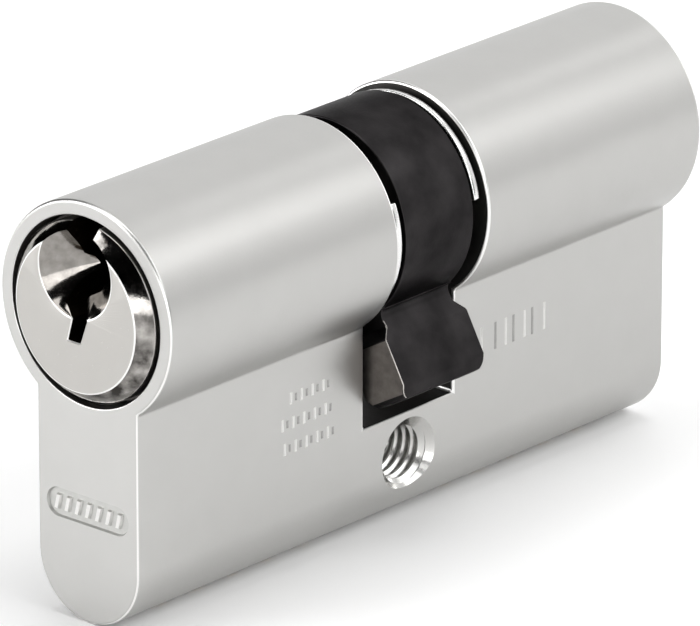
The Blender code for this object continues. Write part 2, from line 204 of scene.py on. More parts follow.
# Pins, springs and stoppers
PIN_COUNT = 5
PIN_RADIUS = 1.4 * MM
PIN_CHAMFER = 0.2 * MM
CHAMFER_MIDDLE = 0.3 * PIN_CHAMFER  # how far a rounded chamfer's middle stands off its two sides
PIN_TIP_RADIUS = 0.35 * MM
PIN_TIP_HEIGHT = 1.05 * MM
PIN_TIP_DROP = 0.1 * MM  # from the rounded tip's top to its rim
PIN_TIP_SHARES = (0.6, 0.2)  # of its radius and its drop, at a point between top and rim
STOPPER_EDGE = 0.06 * MM
SPRING_WIRE_RADIUS = 0.15 * MM
SPRING_RADIUS = 1.05 * MM
SPRING_TURNS = 5
SPRING_STEPS = 20  # in each turn
DEAD_TURNS = 0.75
DEAD_PITCH = 2.2 * SPRING_WIRE_RADIUS

# Marks cut into the housing
PLATE_HALF_LENGTH = 4.1 * MM
PLATE_HALF_HEIGHT = 1.15 * MM
PLATE_HEIGHT = -15.6 * MM
PLATE_DEPTH = 0.2 * MM
PLATE_DRAFT = 0.1 * MM
PLATE_END_STEPS = 16
BARS_EACH_SIDE = 3  # of the middle bar
BAR_PITCH = 1.02 * MM
BAR_HALF_WIDTH = 0.25 * MM
BAR_HALF_HEIGHT = 0.63 * MM
BAR_DRAFT = 0.09 * MM
BAR_LEAN = 0.13 * MM
MARK_HALF_WIDTH = 0.14 * MM
MARK_DEPTH = 0.1 * MM
MARK_DRAFT = 0.08 * MM

# Rows of short strokes, in pairs, by the outer end of the leg's side
SHORT_ROWS = (4, 5, 5)  # pairs in each row, from the top, all rows ending together
FIRST_ROW_HEIGHT = -10.3 * MM
ROW_PITCH = 1.95 * MM
ROW_SHIFT = 0.25 * MM
FIRST_PAIR = -14.15 * MM
PAIR_PITCH = 1.2 * MM
PAIR_HALF_GAP = 0.28 * MM
LONGER_HALF_HEIGHT = 0.48 * MM
SHORTER_HALF_HEIGHT = 0.3 * MM

# Row of tall strokes by its inner end
TALL_PLACES_MM = (8.4, 10.0, 11.2, 12.1, 13.4, 14.3, 15.7)
TALL_HEIGHT = -11.9 * MM
TALL_HALF_HEIGHT = 1.1 * MM

# Camera and floor
CAMERA_AZIMUTH = 41.56
CAMERA_ELEVATION = 20.64
CAMERA_DISTANCE = 676.0 * MM
CAMERA_AIM = Vector((-0.28, -0.69, 10.31)) * MM
CAMERA_LENS = 461.65  # mm
CAMERA_SENSOR = 36.0  # mm
CAMERA_NEAR = 0.01
CAMERA_FAR = 20.0
FLOOR_SIZE = 8.0
FLOOR_CELLS = 8
FLOOR_GAP = 0.02 * MM
FLOOR_COLOUR = (0.98, 0.98, 0.98)
FLOOR_ROUGHNESS = 0.7

# Lights
SOFTBOX_DISTANCE = 3.0
SOFTBOXES = {  # azimuth, elevation, width and height in degrees, then brightness
    "low_front": (-46, 8, 42, 16, 7.2),
    "front": (-30, 26, 54, 20, 2.4),
    "high_front": (-32, 54, 22, 20, 3.5),
    "low_right": (33, 8, 67, 16, 3.2),
    "right": (90, 26, 54, 20, 1.95),
    "high_right": (112, 46, 50, 28, 2.1),
    "back": (150, 28, 54, 56, 0.86),
    "back_left": (-150, 28, 54, 56, 1.12),
    "low_back": (180, 8, 50, 16, 3.5),
    "overhead": (180, 86, 34, 34, 3.5),
}
SKY_BRIGHTNESS = 0.04
GROUND_BRIGHTNESS = 1.0
HORIZON_DEPTH = 0.05  # how far under the horizon the sky has turned into ground


# ---------------------------------------------------------------- shapes


def bench_object(name, data):
    """An object that only serves to make a mesh."""
    obj = bpy.data.objects.new(name, data)
    bpy.context.scene.collection.objects.link(obj)
    return obj


def evaluated_mesh(obj):
    """The object's mesh with its modifiers applied. The object itself is removed."""
    graph = bpy.context.evaluated_depsgraph_get()
    mesh = bpy.data.meshes.new_from_object(obj.evaluated_get(graph))
    bpy.data.objects.remove(obj)
    return mesh


def edited(mesh, edit):
    """Runs edit(bmesh) on the mesh and returns the mesh."""
    shape = bmesh.new()
    shape.from_mesh(mesh)
    edit(shape)
    shape.to_mesh(mesh)
    shape.free()
    return mesh


def facing(axis):
    """The turn that takes Z to the axis."""
    return axis.to_track_quat("Z", "Y").to_matrix().to_4x4()


def cylinder(radius, start, end, axis, through=(0, 0, 0), segments=ROUND, end_radius=None):
    """A cylinder, or a cone if end_radius is given, between two distances along an axis."""
    centre = Vector(through) + axis * (start + end) / 2
    turn = Matrix.Rotation(pi / segments, 4, "Z")

    def make(shape):
        bmesh.ops.create_cone(
            shape,
            cap_ends=True,
            segments=segments,
            radius1=radius,
            radius2=radius if end_radius is None else end_radius,
            depth=end - start,
            matrix=Matrix.Translation(centre) @ facing(axis) @ turn,
        )

    return edited(bpy.data.meshes.new("cylinder"), make)


def box(low, high):
    """A box between its lowest and its highest corner."""
    low = Vector(low)
    high = Vector(high)
    size = Matrix.Diagonal((*(high - low), 1))

    def make(shape):
        bmesh.ops.create_cube(shape, size=1, matrix=Matrix.Translation((low + high) / 2) @ size)

    return edited(bpy.data.meshes.new("box"), make)


def turned(profile, axis, segments=ROUND):
    """A profile of (radius, distance along the axis) points, highest first, turned full circle."""
    mesh = bpy.data.meshes.new("profile")
    points = [(radius, 0, height) for radius, height in profile]
    mesh.from_pydata(points, [(i, i + 1) for i in range(len(points) - 1)], [])
    obj = bench_object("profile", mesh)
    screw = obj.modifiers.new("turn", "SCREW")
    screw.steps = segments
    screw.render_steps = segments
    screw.use_merge_vertices = True
    screw.merge_threshold = TURN_WELD
    mesh = evaluated_mesh(obj)
    mesh.transform(facing(axis) @ Matrix.Rotation(pi / segments, 4, "Z"))
    return mesh


def extruded(outline, half_depth, across, up):
    """A flat outline, drawn along the two axes across and up, thickened both ways."""
    curve = bpy.data.curves.new("outline", "CURVE")
    curve.dimensions = "2D"
    curve.fill_mode = "BOTH"
    curve.extrude = half_depth
    spline = curve.splines.new("POLY")
    spline.points.add(len(outline) - 1)
    for point, (x, y) in zip(spline.points, outline):
        point.co = (x, y, 0, 1)
    spline.use_cyclic_u = True
    placing = Matrix((across, up, across.cross(up))).transposed().to_4x4()

    def clean(shape):
        bmesh.ops.remove_doubles(shape, verts=shape.verts, dist=WELD)
        bmesh.ops.transform(shape, matrix=placing, verts=shape.verts)
        bmesh.ops.dissolve_limit(
            shape, angle_limit=FLAT_ANGLE, verts=shape.verts, edges=shape.edges
        )
        bmesh.ops.recalc_face_normals(shape, faces=shape.faces)

    return edited(evaluated_mesh(bench_object("outline", curve)), clean)


def tapered(inner, outer, depth, across, up):
    """A plug between two flat outlines of as many points: inner at -depth, outer at +depth."""
    outward = across.cross(up)

    def make(shape):
        loops = []
        for outline, height in ((inner, -depth), (outer, depth)):
            points = [across * x + up * y + outward * height for x, y in outline]
            loops.append([shape.verts.new(point) for point in points])
            shape.faces.new(loops[-1])
        low, high = loops
        for i in range(len(low)):
            shape.faces.new((low[i - 1], low[i], high[i], high[i - 1]))
        bmesh.ops.recalc_face_normals(shape, faces=shape.faces)

    return edited(bpy.data.meshes.new("tapered"), make)


def painted(mesh, material):
    """The mesh with the material added to its slots."""
    mesh.materials.append(material)
    return mesh


def combined(mesh, tool, operation):
    """The mesh after one Boolean with the tool mesh. Cut faces take the tool's material."""
    body = bench_object("body", mesh)
    helper = bench_object("tool", tool)
    boolean = body.modifiers.new("boolean", "BOOLEAN")
    boolean.operation = operation
    boolean.object = helper
    boolean.material_mode = "TRANSFER"
    mesh = evaluated_mesh(body)
    bpy.data.objects.remove(helper)
    return mesh


def bevelled(mesh, width, segments=3, share=lambda middle: 1.0):
    """The mesh with its sharp edges rounded. share(middle of an edge) scales the width."""

    def weigh(shape):
        bmesh.ops.remove_doubles(shape, verts=shape.verts, dist=CUT_WELD)
        layer = shape.edges.layers.float.new("bevel_weight_edge")
        for edge in shape.edges:
            if len(edge.link_faces) == 2 and edge.calc_face_angle() > SHARP_ANGLE:
                edge[layer] = share((edge.verts[0].co + edge.verts[1].co) / 2)

    obj = bench_object("bevelled", edited(mesh, weigh))
    bevel = obj.modifiers.new("edges", "BEVEL")
    bevel.limit_method = "WEIGHT"
    bevel.width = width
    bevel.segments = segments
    bevel.use_clamp_overlap = False
    return evaluated_mesh(obj)


def arc(centre_x, centre_y, radius, start, end, steps):
    """The points of an arc between two angles, both ends included."""
    angles = [start + (end - start) * i / steps for i in range(steps + 1)]
    return [(centre_x + radius * cos(a), centre_y + radius * sin(a)) for a in angles]


def rounded(points, radius, steps=4):
    """A closed outline with every corner replaced by an arc of the given radius."""
    outline = []
    for i, corner in enumerate(points):
        corner = Vector(corner)
        before = (Vector(points[i - 1]) - corner).normalized()
        after = (Vector(points[(i + 1) % len(points)]) - corner).normalized()
        half_angle = before.angle(after) / 2
        centre = corner + (before + after).normalized() * radius / sin(half_angle)
        first = corner + before * radius / tan(half_angle) - centre
        last = corner + after * radius / tan(half_angle) - centre
        turn = first.angle_signed(last)
        for k in range(steps + 1):
            outline.append(tuple(centre + Matrix.Rotation(-turn * k / steps, 2) @ first))
    return outline


def grown(outline, margin):
    """A closed counter-clockwise outline, moved outwards by the margin."""
    points = [Vector(point) for point in outline]
    moved = []
    for before, point, after in zip(points[-1:] + points[:-1], points, points[1:] + points[:1]):
        along = (point - before).normalized() + (after - point).normalized()
        moved.append(point + Vector((along.y, -along.x)).normalized() * margin)
    return moved


def chamber_distances():
    """Where the pins stand along Y, read from the outer end's pins."""
    pins = [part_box(f"outer_key_pin_{i + 1}") for i in range(PIN_COUNT)]
    return [(low.y + high.y) / 2 for low, high in pins]


# ---------------------------------------------------------------- metals

PATCH_DETAIL = 4.0
GRAIN_DETAIL = 2.0
RING_WAVER = 0.6


def metal(
    name,
    light,
    dark,
    roughness,
    metallic=1.0,
    glancing=0.9,
    spread=0.05,
    patch=0.35,
    contrast=1.0,
    grain=6.0,
    depth=0.004,
    stretch=(1, 1, 1),
    rings=None,
):
    """A metal with patches of two tones, and a fine grain in its gloss and its surface.

    glancing is the strength of reflections at a very flat angle. patch and grain are features
    per millimetre, contrast pulls the patches towards their two tones where it is above 1, depth
    is the grain's height in millimetres, stretch draws the grain out along an axis where it is
    below 1, and rings adds turning marks about the Y axis, three lines per millimetre for each
    unit.
    """
    material = bpy.data.materials.new(name)
    material.use_nodes = True
    nodes = material.node_tree.nodes
    links = material.node_tree.links
    shader = nodes["Principled BSDF"]
    shader.inputs["Metallic"].default_value = metallic
    shader.inputs["Specular Tint"].default_value = (glancing, glancing, glancing, 1)

    place = nodes.new("ShaderNodeTexCoord")
    in_mm = nodes.new("ShaderNodeMapping")
    in_mm.inputs["Scale"].default_value = [s / MM for s in stretch]
    links.new(place.outputs["Object"], in_mm.inputs["Vector"])

    patches = nodes.new("ShaderNodeTexNoise")
    patches.inputs["Scale"].default_value = patch
    patches.inputs["Detail"].default_value = PATCH_DETAIL
    links.new(in_mm.outputs["Vector"], patches.inputs["Vector"])
    tone = nodes.new("ShaderNodeMix")
    tone.data_type = "RGBA"
    tone.inputs["A"].default_value = (*dark, 1)
    tone.inputs["B"].default_value = (*light, 1)
    choice = nodes.new("ShaderNodeMapRange")
    choice.inputs["From Min"].default_value = 0.5 - 0.5 / contrast
    choice.inputs["From Max"].default_value = 0.5 + 0.5 / contrast
    links.new(patches.outputs["Fac"], choice.inputs["Value"])
    links.new(choice.outputs["Result"], tone.inputs["Factor"])
    links.new(tone.outputs["Result"], shader.inputs["Base Color"])

    speckle = nodes.new("ShaderNodeTexNoise")
    speckle.inputs["Scale"].default_value = grain
    speckle.inputs["Detail"].default_value = GRAIN_DETAIL
    links.new(in_mm.outputs["Vector"], speckle.inputs["Vector"])
    gloss = nodes.new("ShaderNodeMapRange")
    gloss.inputs["To Min"].default_value = roughness - spread
    gloss.inputs["To Max"].default_value = roughness + spread
    links.new(speckle.outputs["Fac"], gloss.inputs["Value"])
    links.new(gloss.outputs["Result"], shader.inputs["Roughness"])

    height = speckle.outputs["Fac"]
    if rings:
        marks = nodes.new("ShaderNodeTexWave")
        marks.wave_type = "RINGS"
        marks.rings_direction = "Y"
        marks.inputs["Scale"].default_value = rings
        marks.inputs["Distortion"].default_value = RING_WAVER
        marks.inputs["Detail"].default_value = GRAIN_DETAIL
        links.new(in_mm.outputs["Vector"], marks.inputs["Vector"])
        both = nodes.new("ShaderNodeMath")
        both.operation = "ADD"
        links.new(marks.outputs["Fac"], both.inputs[0])
        links.new(speckle.outputs["Fac"], both.inputs[1])
        height = both.outputs["Value"]
    bump = nodes.new("ShaderNodeBump")
    bump.inputs["Distance"].default_value = depth * MM
    links.new(height, bump.inputs["Height"])
    links.new(bump.outputs["Normal"], shader.inputs["Normal"])
    return material


SATIN_NICKEL = metal(
    "satin_nickel_plating", (0.53, 0.526, 0.513), (0.50, 0.497, 0.484), roughness=0.36
)
PLATE_FLOOR = metal(
    "blasted_nickel", (0.52, 0.52, 0.505), (0.42, 0.42, 0.405), roughness=0.5, patch=2.0, depth=0.01
)
# Painted highlight: lighter nickel for every other side stroke and for the plate's raised bars
NICKEL_PAINTED_HIGHLIGHT = metal(
    "nickel_painted_highlight", (0.72, 0.715, 0.70), (0.62, 0.615, 0.60), roughness=0.36, patch=2.0
)
# Painted shade: darker nickel for every other side stroke
NICKEL_PAINTED_SHADE = metal(
    "nickel_painted_shade", (0.43, 0.425, 0.415), (0.34, 0.335, 0.33), roughness=0.45, patch=2.0
)
THREAD_NICKEL = metal(
    "tapped_nickel", (0.66, 0.655, 0.635), (0.58, 0.575, 0.56), roughness=0.2, stretch=(4, 1, 1)
)
# Painted shade: dark colour for the bore, the recess walls and the pin chambers, standing in for
# the shade inside them
BORE_PAINTED_SHADE = metal(
    "bore_painted_shade", (0.20, 0.19, 0.18), (0.12, 0.115, 0.11), roughness=0.45, stretch=(1, 6, 1)
)
# Painted shade: near black on the cam slot's cut faces, standing in for the shade inside the slot
SLOT_PAINTED_SHADE = metal(
    "slot_painted_shade", (0.06, 0.058, 0.056), (0.03, 0.029, 0.028), roughness=0.5, stretch=(1, 4, 1)
)
# Painted highlight: near white on thin edge facets and rims, standing in for the bright lines that
# light draws along edges
EDGE_PAINTED_HIGHLIGHT = metal(
    "edge_painted_highlight", (0.90, 0.895, 0.88), (0.80, 0.795, 0.78), roughness=0.34, patch=0.8
)
PLUG_FACE = metal(
    "plug_face_nickel",
    (0.485, 0.473, 0.452),
    (0.45, 0.438, 0.418),
    roughness=0.3,
    depth=0.0015,
    rings=2.2,
)
POLISHED_NICKEL = metal(
    "polished_nickel",
    (0.42, 0.40, 0.375),
    (0.13, 0.12, 0.11),
    roughness=0.10,
    spread=0.05,
    patch=1.3,
    grain=4.0,
    depth=0.003,
)
# Painted reflection: the plug head's chamfer in patches of near black and pale, standing in for the
# dark and bright surroundings it reflects
CHAMFER_PAINTED_REFLECTION = metal(
    "chamfer_painted_reflection",
    (0.50, 0.48, 0.455),
    (0.04, 0.036, 0.033),
    roughness=0.10,
    spread=0.06,
    patch=0.6,
    contrast=3.0,
    grain=4.0,
    depth=0.004,
)
# Raw brass darkened with painted shade: the keyway, the pin bores and the coupler pocket are near
# black for the shade deep inside the plug
SHADED_KEYWAY_BRASS = metal(
    "broached_brass_painted_shade",
    (0.20, 0.155, 0.11),
    (0.03, 0.023, 0.017),
    roughness=0.25,
    patch=0.7,
    contrast=2.0,
    stretch=(1, 0.3, 1),
)
BLACKENED = metal(
    "black_oxide",
    (0.046, 0.043, 0.044),
    (0.012, 0.0113, 0.0118),
    roughness=0.38,
    glancing=0.5,
    spread=0.08,
    patch=0.3,
    contrast=1.8,
    grain=5.0,
    depth=0.006,
)
SHEARED = metal(
    "sheared_steel",
    (0.22, 0.20, 0.185),
    (0.10, 0.09, 0.083),
    roughness=0.46,
    spread=0.1,
    patch=1.6,
    grain=7.0,
    depth=0.012,
)
# Wear and painted highlight: pale patches on the lever's edge bevels that face both along Y and off
# the plate, towards the light
WORN_EDGE_AND_HIGHLIGHT = metal(
    "worn_edge_and_painted_highlight", (0.80, 0.78, 0.75), (0.30, 0.28, 0.26), roughness=0.4, patch=2.2, depth=0.008
)
BRIGHT_STEEL = metal(
    "bright_spring_steel", (0.86, 0.86, 0.85), (0.80, 0.80, 0.79), roughness=0.22, depth=0.002
)
COUPLER_STEEL = metal(
    "machined_steel", (0.42, 0.42, 0.43), (0.33, 0.33, 0.34), roughness=0.38, stretch=(1, 0.2, 1)
)
TURNED_BRASS = metal(
    "turned_brass", (0.74, 0.57, 0.30), (0.66, 0.49, 0.24), roughness=0.26, stretch=(0.3, 0.3, 4)
)
PIN_STEEL = metal(
    "turned_steel", (0.60, 0.60, 0.62), (0.52, 0.52, 0.54), roughness=0.24, stretch=(0.3, 0.3, 4)
)
SPRING_STEEL = metal(
    "drawn_wire", (0.55, 0.55, 0.57), (0.45, 0.45, 0.47), roughness=0.28, depth=0.002
)


# ---------------------------------------------------------------- housing


def profile_outline():
    """Barrel and leg as one outline, in x and height over the barrel axis."""
    meeting = asin(LEG_HALF_WIDTH / BARREL_RADIUS)
    leg_end_centre = LEG_BOTTOM + LEG_HALF_WIDTH
    barrel = arc(0, 0, BARREL_RADIUS, -pi / 2 + meeting, 3 * pi / 2 - meeting, BARREL_STEPS)
    leg_end = arc(0, leg_end_centre, LEG_HALF_WIDTH, pi, 2 * pi, LEG_END_STEPS)
    return barrel + leg_end


def threaded_hole():
    """The space inside the screw thread, a helical tube that runs past both sides of the leg."""
    turns = round(2 * LEG_HALF_WIDTH / SCREW_PITCH) + THREAD_SPARE_TURNS
    depth = SCREW_CREST_RADIUS - SCREW_CORE_RADIUS

    def make(shape):
        rows = []
        for step in range(THREAD_STEPS):
            around = step / THREAD_STEPS
            angle = 2 * pi * around
            row = []
            for turn in range(turns):
                for share, rise in THREAD_FORM:
                    x = (turn + share + around - turns / 2) * SCREW_PITCH
                    radius = SCREW_CORE_RADIUS + depth * rise
                    row.append(shape.verts.new((x, radius * cos(angle), radius * sin(angle))))
            rows.append(row)
        rows.append(rows[0][len(THREAD_FORM) :])  # after a full turn, one pitch further on
        for row, after in zip(rows, rows[1:]):
            for corners in zip(row, row[1:], after[1:], after):
                shape.faces.new(corners)
        bmesh.ops.holes_fill(shape, edges=shape.edges, sides=0)
        bmesh.ops.recalc_face_normals(shape, faces=shape.faces)

    mesh = edited(bpy.data.meshes.new("thread"), make)
    mesh.transform(Matrix.Translation((0, 0, -AXIS_HEIGHT)))
    return mesh


def countersink(side):
    """The cone around the screw hole on one side of the leg: 45 degrees, past the surface."""
    return cylinder(
        COUNTERSINK_START,
        LEG_HALF_WIDTH - (SCREW_RIM_RADIUS - COUNTERSINK_START),
        LEG_HALF_WIDTH + CUT_PAST,
        side * X_AXIS,
        (0, 0, -AXIS_HEIGHT),
        end_radius=SCREW_RIM_RADIUS + CUT_PAST,
    )


def stadium(half_length, half_height):
    """The outline of a plate with half-round ends."""
    straight = half_length - half_height
    right = arc(straight, 0, half_height, -pi / 2, pi / 2, PLATE_END_STEPS)
    left = arc(-straight, 0, half_height, pi / 2, 3 * pi / 2, PLATE_END_STEPS)
    return right + left


def bar(centre_x, centre_y, half_width, half_height, lean=0.0):
    """A bar's outline, its top moved sideways by twice the lean."""
    return [
        (centre_x - lean - half_width, centre_y - half_height),
        (centre_x - lean + half_width, centre_y - half_height),
        (centre_x + lean + half_width, centre_y + half_height),
        (centre_x + lean - half_width, centre_y + half_height),
    ]


def plate_cutter():
    """A sunk plate on the end face."""
    floor = stadium(PLATE_HALF_LENGTH - PLATE_DRAFT, PLATE_HALF_HEIGHT - PLATE_DRAFT)
    outside = stadium(PLATE_HALF_LENGTH + PLATE_DRAFT, PLATE_HALF_HEIGHT + PLATE_DRAFT)
    plate = tapered(floor, outside, PLATE_DEPTH, X_AXIS, Z_AXIS)
    plate.transform(Matrix.Translation((0, -HALF_LENGTH, PLATE_HEIGHT)))
    return plate


def plate_bars():
    """A hatch of leaning bars that stands in the sunk plate, level with the end face."""
    bars = []
    for i in range(-BARS_EACH_SIDE, BARS_EACH_SIDE + 1):
        x = i * BAR_PITCH
        foot = bar(x, 0, BAR_HALF_WIDTH + BAR_DRAFT, BAR_HALF_HEIGHT + BAR_DRAFT, BAR_LEAN)
        top = bar(x, 0, BAR_HALF_WIDTH - BAR_DRAFT, BAR_HALF_HEIGHT - BAR_DRAFT, BAR_LEAN)
        standing = tapered(foot, top, PLATE_DEPTH, X_AXIS, Z_AXIS)
        standing.transform(Matrix.Translation((0, PLATE_DEPTH - HALF_LENGTH, PLATE_HEIGHT)))
        bars.append(standing)
    return bars


def side_mark(y, z, half_height):
    """A small upright stroke cut into the leg's side."""
    floor = bar(y, z, MARK_HALF_WIDTH - MARK_DRAFT, half_height - MARK_DRAFT)
    outside = bar(y, z, MARK_HALF_WIDTH + MARK_DRAFT, half_height + MARK_DRAFT)
    mark = tapered(floor, outside, MARK_DEPTH, Y_AXIS, Z_AXIS)
    mark.transform(Matrix.Translation((LEG_HALF_WIDTH, 0, 0)))
    return mark


def side_marks():
    """Three rows of short strokes by the outer end, and a row of tall ones by the inner end."""
    marks = []
    for row, pairs in enumerate(SHORT_ROWS):
        z = FIRST_ROW_HEIGHT - ROW_PITCH * row
        for pair in range(max(SHORT_ROWS) - pairs, max(SHORT_ROWS)):
            y = FIRST_PAIR + PAIR_PITCH * pair + ROW_SHIFT * row
            marks.append(side_mark(y - PAIR_HALF_GAP, z, LONGER_HALF_HEIGHT))
            marks.append(side_mark(y + PAIR_HALF_GAP, z, SHORTER_HALF_HEIGHT))
    for y_mm in TALL_PLACES_MM:
        marks.append(side_mark(y_mm * MM, TALL_HEIGHT, TALL_HALF_HEIGHT))
    return marks


def housing_edge_share(middle):
    """How much of the end edge's rounding an edge gets: all on the end faces' outline."""
    if abs(middle.y) < HALF_LENGTH - SAME_PLACE:
        return INNER_EDGE / END_EDGE
    off_axis = sqrt(middle.x**2 + middle.z**2)
    return RECESS_EDGE / END_EDGE if off_axis < RECESS_RADIUS + SAME_PLACE else 1.0


def housing_mesh():
    """Barrel and leg with cam slot, bore, screw hole, pin chambers and marks."""
    mesh = extruded(profile_outline(), HALF_LENGTH, X_AXIS, Z_AXIS)
    mesh = painted(mesh, SATIN_NICKEL)
    slot = box(
        (-BARREL_RADIUS - CUT_PAST, -SLOT_HALF_WIDTH, SLOT_FLOOR),
        (BARREL_RADIUS + CUT_PAST, SLOT_HALF_WIDTH, BARREL_RADIUS + CUT_PAST),
    )
    # the slot's cut faces take the painted shade
    mesh = combined(mesh, painted(slot, SLOT_PAINTED_SHADE), "DIFFERENCE")
    face = HALF_LENGTH + CUT_PAST
    bore = turned(
        [
            (0, face),
            (RECESS_RADIUS, face),
            (RECESS_RADIUS, HALF_LENGTH - RECESS_DEPTH),
            (BORE_RADIUS, HALF_LENGTH - RECESS_DEPTH),
            (BORE_RADIUS, RECESS_DEPTH - HALF_LENGTH),
            (RECESS_RADIUS, RECESS_DEPTH - HALF_LENGTH),
            (RECESS_RADIUS, -face),
            (0, -face),
        ],
        Y_AXIS,
    )
    # bore and recess walls take the painted shade
    mesh = combined(mesh, painted(bore, BORE_PAINTED_SHADE), "DIFFERENCE")
    mesh = bevelled(mesh, END_EDGE, share=housing_edge_share)
    # bevel facets that lean the given amount along Y, at the slot and the end faces, get the
    # painted highlight
    mesh.materials.append(EDGE_PAINTED_HIGHLIGHT)
    for polygon in mesh.polygons:
        distance = abs(polygon.center.y)
        endwise = abs(polygon.normal.y)
        if abs(distance - SLOT_HALF_WIDTH) < INNER_EDGE:
            least, most = SLOT_EDGE_LEANS
        elif distance > HALF_LENGTH - END_EDGE:
            least, most = END_EDGE_LEANS
        else:
            continue
        if least < endwise < most:
            polygon.material_index = len(mesh.materials) - 1
    mesh = combined(mesh, painted(threaded_hole(), THREAD_NICKEL), "DIFFERENCE")
    for side in (-1, 1):
        mesh = combined(mesh, painted(countersink(side), THREAD_NICKEL), "DIFFERENCE")
    for side in (-1, 1):
        for distance in chamber_distances():
            chamber = cylinder(
                CHAMBER_RADIUS,
                LEG_BOTTOM - CUT_PAST,
                -PLUG_RADIUS + CUT_PAST,
                Z_AXIS,
                (0, -side * distance, 0),
                segments=CHAMBER_ROUND,
            )
            mesh = combined(mesh, painted(chamber, BORE_PAINTED_SHADE), "DIFFERENCE")
    mesh = combined(mesh, painted(plate_cutter(), PLATE_FLOOR), "DIFFERENCE")
    # strokes alternate between the painted shade and the painted highlight
    for i, mark in enumerate(side_marks()):
        tone = NICKEL_PAINTED_SHADE if i % 2 else NICKEL_PAINTED_HIGHLIGHT
        mesh = combined(mesh, painted(mark, tone), "DIFFERENCE")
    # the raised bars carry the painted highlight
    for standing in plate_bars():
        mesh = combined(mesh, painted(standing, NICKEL_PAINTED_HIGHLIGHT), "UNION")
    return mesh


# ---------------------------------------------------------------- plug


def funnel_cutter():
    """The key funnel: a cone that ends in a flatter rim on the plug's face, with a painted
    highlight on that rim.
    """
    face = HALF_LENGTH + FACE_PROUD
    profile = [
        (0, face + CUT_PAST),
        (FUNNEL_RADIUS + FUNNEL_RIM + CUT_PAST, face + CUT_PAST),
        (FUNNEL_RADIUS + FUNNEL_RIM, face),
        (FUNNEL_RADIUS - FUNNEL_RIM / 2, face - FUNNEL_RIM / 2),
        (FUNNEL_TIP_RADIUS, face - (FUNNEL_RADIUS - FUNNEL_TIP_RADIUS)),
        (0, face - (FUNNEL_RADIUS - FUNNEL_TIP_RADIUS)),
    ]
    mesh = painted(turned(profile, -Y_AXIS, segments=HEAD_ROUND), POLISHED_NICKEL)
    mesh.materials.append(EDGE_PAINTED_HIGHLIGHT)
    for polygon in mesh.polygons:
        depth = face + polygon.center.y
        if 0 < depth < FUNNEL_RIM / 2:
            polygon.material_index = 1
    mesh.transform(Matrix.Translation((0, 0, FUNNEL_HEIGHT)))
    return mesh


def plug_mesh():
    """The outer plug, its face towards -Y: head, circlip groove, keyway, funnel and pin bores."""
    face = HALF_LENGTH + FACE_PROUD
    profile = [
        (0, face),
        (FACE_RADIUS - HEAD_EDGE, face),
        (FACE_RADIUS, face - HEAD_EDGE / 3),
        (FACE_RADIUS + HEAD_EDGE, face - HEAD_EDGE),
        (HEAD_RADIUS - HEAD_EDGE, HALF_LENGTH + HEAD_EDGE),
        (HEAD_RADIUS, HALF_LENGTH - HEAD_EDGE),
        (HEAD_RADIUS, HEAD_SHOULDER),
        (PLUG_RADIUS, HEAD_SHOULDER),
        (PLUG_RADIUS, GROOVE_FAR),
        (GROOVE_RADIUS, GROOVE_FAR),
        (GROOVE_RADIUS, GROOVE_NEAR),
        (PLUG_RADIUS, GROOVE_NEAR),
        (PLUG_RADIUS, PLUG_END + HEAD_EDGE),
        (PLUG_RADIUS - HEAD_EDGE, PLUG_END),
        (0, PLUG_END),
    ]
    mesh = painted(turned(profile, -Y_AXIS, segments=HEAD_ROUND), PLUG_FACE)
    mesh.materials.append(CHAMFER_PAINTED_REFLECTION)
    mesh.materials.append(EDGE_PAINTED_HIGHLIGHT)
    # chamfer faces get the painted reflection, the outermost rounding the painted highlight
    least, most = CHAMFER_LEANS
    for polygon in mesh.polygons:
        if polygon.center.y < -HALF_LENGTH and least < -polygon.normal.y < most:
            polygon.material_index = 2 if polygon.center.y < HEAD_EDGE - face else 1
    for distance in chamber_distances():
        bore = cylinder(
            CHAMBER_RADIUS,
            -PLUG_RADIUS - CUT_PAST,
            CHAMBER_TOP,
            Z_AXIS,
            (0, distance, 0),
            segments=CHAMBER_ROUND,
        )
        mesh = combined(mesh, painted(bore, SHADED_KEYWAY_BRASS), "DIFFERENCE")
    half_length = (face + CUT_PAST) / 2
    outline = [(x * MM, z * MM) for x, z in KEYWAY_MM]
    keyway = extruded(rounded(outline, KEYWAY_CORNER, steps=2), half_length, X_AXIS, Z_AXIS)
    keyway.transform(Matrix.Translation((0, -half_length, 0)))
    mesh = combined(mesh, painted(keyway, SHADED_KEYWAY_BRASS), "DIFFERENCE")
    # the keyway's rim gets the painted highlight
    rim = tapered(outline, grown(outline, 2 * KEYWAY_RIM), KEYWAY_RIM, X_AXIS, Z_AXIS)
    rim.transform(Matrix.Translation((0, -face, 0)))
    mesh = combined(mesh, painted(rim, EDGE_PAINTED_HIGHLIGHT), "DIFFERENCE")
    mesh = combined(mesh, funnel_cutter(), "DIFFERENCE")
    pocket = box(
        (-TONGUE_HALF_WIDTH - SLIDING_PLAY, -POCKET_DEPTH, -TONGUE_HALF_HEIGHT - SLIDING_PLAY),
        (TONGUE_HALF_WIDTH + SLIDING_PLAY, 0, TONGUE_HALF_HEIGHT + SLIDING_PLAY),
    )
    return combined(mesh, painted(pocket, SHADED_KEYWAY_BRASS), "DIFFERENCE")


# ---------------------------------------------------------------- cam


